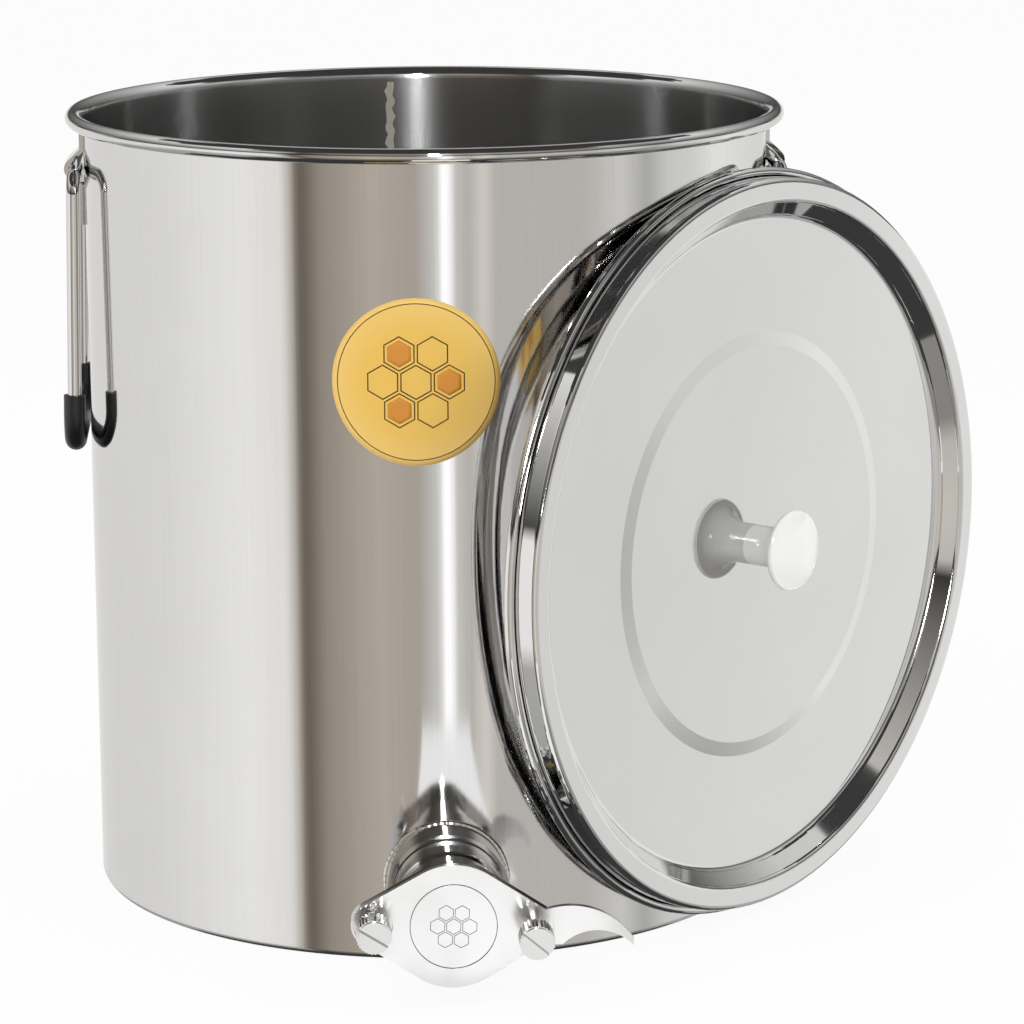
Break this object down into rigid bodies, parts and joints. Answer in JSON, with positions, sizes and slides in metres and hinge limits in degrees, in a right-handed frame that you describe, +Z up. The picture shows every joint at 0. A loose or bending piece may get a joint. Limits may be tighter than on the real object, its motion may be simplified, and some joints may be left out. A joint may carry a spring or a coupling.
{
  "type": "honey settling tank",
  "caption": "Sheet steel settling tank with a rolled rim, a swinging shutter gate at its foot, drop handles with sleeves and a dished lift-off lid leaning on its wall.",
  "frame": {"origin": "on the floor plane at the drum's axis", "axes": "+Z up along the drum's axis, -Y out of the gate, +X to the right seen from the gate"},
  "size_m": [0.4793, 0.4538, 0.402],
  "materials": {
    "drum_steel": "bright cold-rolled stainless sheet, finely lined",
    "gate_steel": "turned and polished stainless",
    "plate_steel": "satin ground face with polished edges",
    "screw_steel": "turned, bright",
    "handle_steel": "drawn wire and rolled strip, polished",
    "gasket_rubber": "moulded, matt",
    "grip_sleeve": "soft black sleeve with a low sheen",
    "knob_plastic": "moulded, glossy white",
    "insert_brass": "turned"
  },
  "bodies": {
    "tank": {"drum_wall": "drum_steel", "drum_bottom": "drum_steel", "gate_socket": "gate_steel", "gate_gasket": "gasket_rubber", "gate_pipe": "gate_steel", "gate_ring_nut": "gate_steel", "gate_flange": "gate_steel", "gate_seal_ring": "gasket_rubber", "left_strap": "handle_steel", "right_strap": "handle_steel"},
    "shutter": {"gate_shutter": "plate_steel"},
    "pivot_thumb_screw": {"pivot_screw": "screw_steel"},
    "lock_thumb_screw": {"lock_screw": "screw_steel"},
    "left_handle": {"left_bail": "handle_steel", "left_grip": "grip_sleeve"},
    "right_handle": {"right_bail": "handle_steel", "right_grip": "grip_sleeve"},
    "lid": {"lid_shell": "drum_steel", "lid_knob": "knob_plastic", "knob_insert": "insert_brass", "knob_screw": "screw_steel", "knob_washer": "screw_steel"}
  },
  "joints": [
    {"name": "shutter_turn", "type": "hinge", "parent": "tank", "child": "shutter", "pos_m": [-0.03822, -0.244, 0.04179], "axis": [0, -1, 0], "range_deg": [0, 100]},
    {"name": "pivot_screw_turn", "type": "hinge", "parent": "tank", "child": "pivot_thumb_screw", "pos_m": [-0.03822, -0.24, 0.04179], "axis": [0, -1, 0], "range_deg": [0, 90]},
    {"name": "lock_screw_turn", "type": "hinge", "parent": "tank", "child": "lock_thumb_screw", "pos_m": [0.03822, -0.24, 0.03871], "axis": [0, -1, 0], "range_deg": [0, 90]},
    {"name": "left_bail_swing", "type": "hinge", "parent": "tank", "child": "left_handle", "pos_m": [-0.1788, 0, 0.3721], "axis": [0, 1, 0], "range_deg": [0, 165]},
    {"name": "right_bail_swing", "type": "hinge", "parent": "tank", "child": "right_handle", "pos_m": [0.1788, 0, 0.3721], "axis": [0, -1, 0], "range_deg": [0, 165]},
    {"name": "lid_lift_off", "type": "slide", "parent": "tank", "child": "lid", "axis": [0.6839, -0.6445, 0.342], "range_m": [0, 0.35]}
  ],
  "couplings": [
    {"joint": "lid_lift_off", "follows": "right_bail_swing", "m_per_rad": 0.12153}
  ]
}
